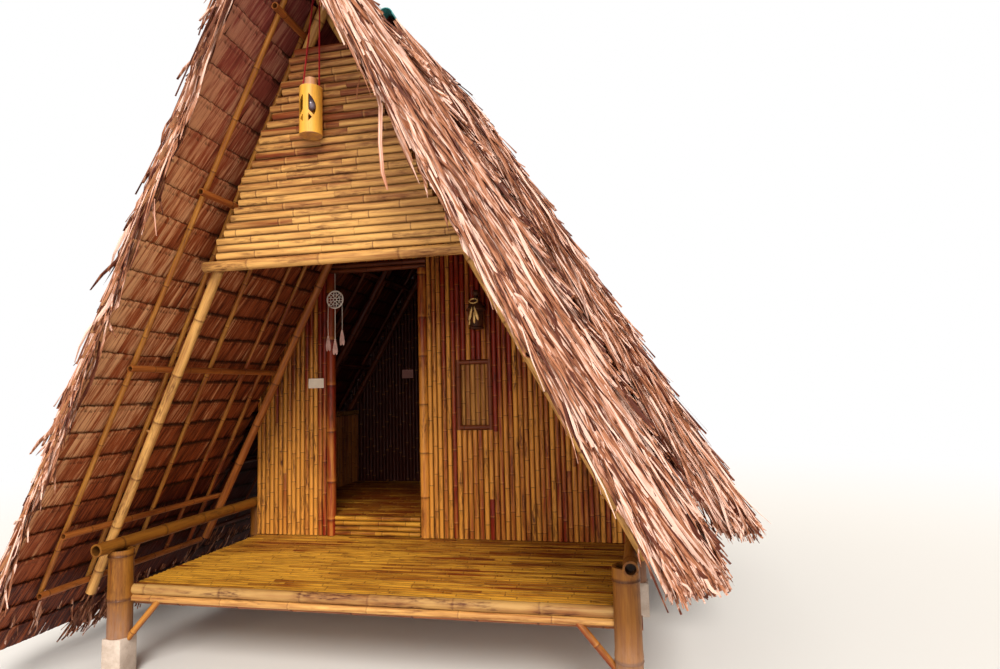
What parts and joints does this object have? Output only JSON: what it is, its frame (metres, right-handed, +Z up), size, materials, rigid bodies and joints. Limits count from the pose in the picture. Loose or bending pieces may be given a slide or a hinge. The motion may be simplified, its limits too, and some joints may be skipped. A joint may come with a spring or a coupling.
{
  "type": "stilt house",
  "caption": "A-frame bamboo hut on short posts with a thatched roof, an open porch deck, one room, a doorway and a small window.",
  "frame": {"origin": "middle of the hut's footprint box, on the ground", "axes": "+X to the right seen from the front, +Y from the porch to the rear, +Z up"},
  "size_m": [4.656, 4.3342, 4.0998],
  "materials": {
    "bamboo_gold": "golden bamboo, satin",
    "bamboo_pale": "pale yellow bamboo, satin",
    "bamboo_orange": "orange-brown bamboo, satin",
    "bamboo_dark": "dark red-brown bamboo, satin",
    "thatch": "dry palm leaf, matt",
    "concrete": "cast concrete, rough",
    "teal_plastic": "split plastic pipe, satin",
    "red_cord": "twisted red cord",
    "dark_metal": "dark aged metal",
    "catcher_thread": "off-white thread and feathers",
    "white_plastic": "white plate"
  },
  "bodies": {
    "root": {"footings": "concrete", "front_posts": "bamboo_gold", "middle_posts": "bamboo_gold", "rear_posts": "bamboo_gold", "deck_braces": "bamboo_gold", "side_rails": "bamboo_gold", "deck_edge_upper": "bamboo_pale", "deck_edge_lower": "bamboo_pale", "floor_bearers": "bamboo_orange", "floor_joists": "bamboo_orange", "porch_deck": "bamboo_gold", "room_floor": "bamboo_gold", "door_step": "bamboo_gold", "front_left_rafter": "bamboo_pale", "front_right_rafter": "bamboo_pale", "inner_rafters": "bamboo_orange", "porch_thin_rafters": "bamboo_gold", "porch_purlins": "bamboo_orange", "gable_beam": "bamboo_pale", "gable_screen": "bamboo_gold", "ridge_poles": "bamboo_orange", "front_wall_left": "bamboo_gold", "front_wall_right": "bamboo_gold", "front_wall_head": "bamboo_orange", "door_posts": "bamboo_orange", "door_header": "bamboo_dark", "window_frame": "bamboo_dark", "window_shutter": "bamboo_orange", "left_knee_wall": "bamboo_orange", "right_knee_wall": "bamboo_orange", "knee_rails": "bamboo_pale", "rear_wall": "bamboo_dark", "main_rafters": "bamboo_orange", "main_purlins": "bamboo_orange", "main_thin_rafters": "bamboo_gold", "porch_thatch_left": "thatch", "porch_thatch_right": "thatch", "main_thatch_left": "thatch", "main_thatch_right": "thatch", "ridge_cap": "teal_plastic", "lantern_body": "bamboo_pale", "lantern_cords": "red_cord", "wall_lantern": "dark_metal", "dream_catcher": "catcher_thread", "wall_plates": "white_plastic"}
  },
  "joints": []
}
